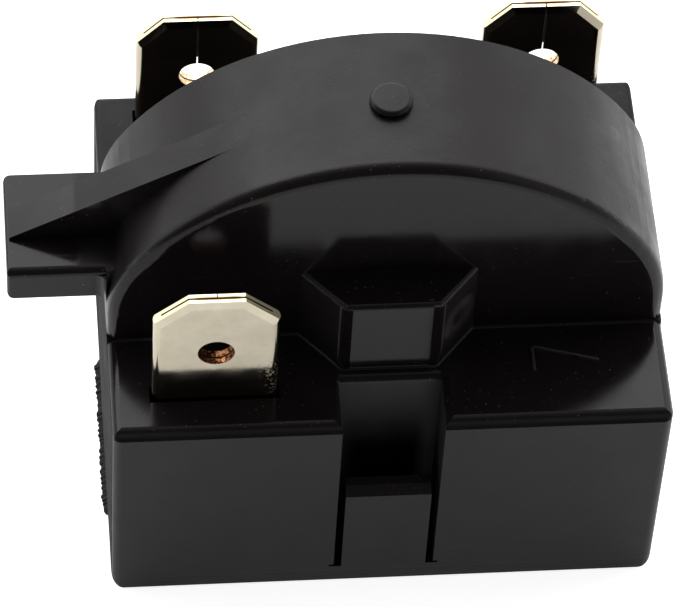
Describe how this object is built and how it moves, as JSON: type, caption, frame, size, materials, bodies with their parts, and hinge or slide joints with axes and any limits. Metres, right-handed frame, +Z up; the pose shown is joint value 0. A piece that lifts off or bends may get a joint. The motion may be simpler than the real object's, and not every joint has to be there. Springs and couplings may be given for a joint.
{
  "type": "compressor start relay",
  "caption": "Moulded plug-in start relay with a round thermistor cap, a side arm, folded push-on blades and sockets for compressor pins.",
  "frame": {"origin": "middle of the flat bottom face of the moulded body, the side arm left out", "axes": "+X to the right seen from the front, +Y to the rear where the compressor's pins enter, +Z up along the blades"},
  "size_m": [0.0333, 0.021, 0.0271],
  "materials": {
    "black_moulding": "gloss black moulded plastic",
    "base_moulding": "satin black moulded plastic",
    "pill_ceramic": "sintered dark ceramic with silvered faces",
    "spring_steel": "rolled stainless spring steel",
    "strip_brass": "stamped brass",
    "plated_blade": "bright nickel plate on brass",
    "sleeve_bronze": "rolled bronze",
    "rivet_steel": "plated steel rivets"
  },
  "bodies": {
    "root": {"cover": "black_moulding", "base": "base_moulding", "ptc_pill": "pill_ceramic", "front_spring_plate": "spring_steel", "rear_spring_plate": "spring_steel", "run_strip": "strip_brass", "start_strip": "strip_brass", "front_blade": "plated_blade", "left_rear_blade": "plated_blade", "right_rear_blade": "plated_blade", "run_pin_sleeve": "sleeve_bronze", "start_pin_sleeve": "sleeve_bronze", "run_sleeve_clip": "spring_steel", "start_sleeve_clip": "spring_steel", "blade_rivets": "rivet_steel", "spring_plate_rivets": "rivet_steel"}
  },
  "joints": []
}
